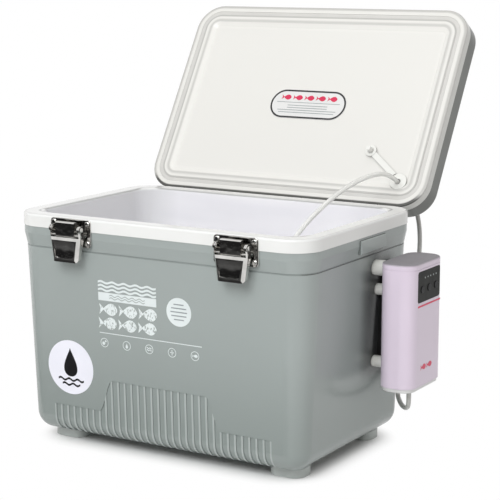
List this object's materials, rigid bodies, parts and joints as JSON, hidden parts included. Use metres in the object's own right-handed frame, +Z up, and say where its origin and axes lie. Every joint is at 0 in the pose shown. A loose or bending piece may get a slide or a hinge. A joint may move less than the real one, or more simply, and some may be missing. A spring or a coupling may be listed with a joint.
{
  "type": "live bait cooler with aerator pump",
  "caption": "Insulated rectangular live-bait cooler with a hinged lid, steel draw latches and a side-mounted battery air pump with hose.",
  "frame": {"origin": "on the ground under the middle of the tub", "axes": "+Z up, -Y towards the latches at the front, +X towards the air pump"},
  "size_m": [0.409, 0.4161, 0.4502],
  "materials": {
    "grey_green_plastic": "glossy moulded, very fine grain",
    "white_plastic": "glossy moulded",
    "foam": "rigid closed-cell foam",
    "gasket_rubber": "soft satin",
    "white_rubber": "soft satin",
    "label": "printed film",
    "pump_plastic": "glossy moulded",
    "black_plastic": "satin",
    "light_lens": "clear lens",
    "circuit_board": "lacquered",
    "cell_wrap": "shrink wrap",
    "grey_hose": "satin",
    "clear_hose": "translucent satin",
    "air_stone": "porous",
    "inner_plastic": "moulded",
    "steel": "plain",
    "polished_steel": "polished"
  },
  "bodies": {
    "tub": {"air_chamber": "inner_plastic", "air_stone": "air_stone", "battery_cells": "cell_wrap", "case_screws": "steel", "circuit_board": "circuit_board", "control_panel": "black_plastic", "hinge_screws_tub": "steel", "indicator_lights": "light_lens", "inner_hose": "clear_hose", "inner_liner": "white_plastic", "left_hinge_body_leaf": "black_plastic", "left_hinge_pin": "steel", "left_latch_plate": "polished_steel", "left_latch_screws": "polished_steel", "left_lever_rivets": "polished_steel", "outer_hose": "grey_hose", "outer_shell": "grey_green_plastic", "outlet_nipple": "inner_plastic", "pump_bottom_cap": "pump_plastic", "pump_bracket": "black_plastic", "pump_case": "pump_plastic", "pump_chassis": "inner_plastic", "pump_motor": "steel", "pump_standoffs": "white_plastic", "pump_top_cap": "pump_plastic", "right_hinge_body_leaf": "black_plastic", "right_hinge_pin": "steel", "right_latch_plate": "polished_steel", "right_latch_screws": "polished_steel", "right_lever_rivets": "polished_steel", "top_standoff": "white_plastic", "tub_insulation": "foam"},
    "lid": {"grommet_plug": "white_rubber", "hinge_screws_lid": "steel", "hose_grommet": "white_rubber", "keeper_screws": "polished_steel", "left_hinge_lid_leaf": "black_plastic", "left_keeper": "polished_steel", "lid_gasket": "gasket_rubber", "lid_insulation": "foam", "lid_label": "label", "lid_liner": "white_plastic", "lid_shell": "grey_green_plastic", "right_hinge_lid_leaf": "black_plastic", "right_keeper": "polished_steel"},
    "left_lever": {"left_lever": "polished_steel", "left_claw_pin": "steel"},
    "left_claw": {"left_claw": "polished_steel"},
    "right_lever": {"right_lever": "polished_steel", "right_claw_pin": "steel"},
    "right_claw": {"right_claw": "polished_steel"},
    "push_button_1": {"push_button_1": "black_plastic"},
    "push_button_2": {"push_button_2": "black_plastic"},
    "push_button_3": {"push_button_3": "black_plastic"}
  },
  "joints": [
    {"name": "lid_hinge", "type": "hinge", "parent": "tub", "child": "lid", "pos_m": [0, 0.1246, 0.2431], "axis": [1, 0, 0], "range_deg": [0, 121.4], "deforming": ["outer_hose", "inner_hose"]},
    {"name": "left_lever_hinge", "type": "hinge", "parent": "tub", "child": "left_lever", "pos_m": [-0.0995, -0.1302, 0.236], "axis": [-1, 0, 0], "range_deg": [0, 110]},
    {"name": "left_claw_hinge", "type": "hinge", "parent": "left_lever", "child": "left_claw", "pos_m": [-0.0995, -0.1302, 0.2295], "axis": [1, 0, 0], "range_deg": [0, 75]},
    {"name": "right_lever_hinge", "type": "hinge", "parent": "tub", "child": "right_lever", "pos_m": [0.0995, -0.1302, 0.236], "axis": [-1, 0, 0], "range_deg": [0, 110]},
    {"name": "right_claw_hinge", "type": "hinge", "parent": "right_lever", "child": "right_claw", "pos_m": [0.0995, -0.1302, 0.2295], "axis": [1, 0, 0], "range_deg": [0, 75]},
    {"name": "push_button_1_press", "type": "slide", "parent": "tub", "child": "push_button_1", "axis": [-1, 0, 0], "range_m": [0, 0.0006], "stiffness_N_per_m": 400},
    {"name": "push_button_2_press", "type": "slide", "parent": "tub", "child": "push_button_2", "axis": [-1, 0, 0], "range_m": [0, 0.0006], "stiffness_N_per_m": 400},
    {"name": "push_button_3_press", "type": "slide", "parent": "tub", "child": "push_button_3", "axis": [-1, 0, 0], "range_m": [0, 0.0006], "stiffness_N_per_m": 400}
  ]
}
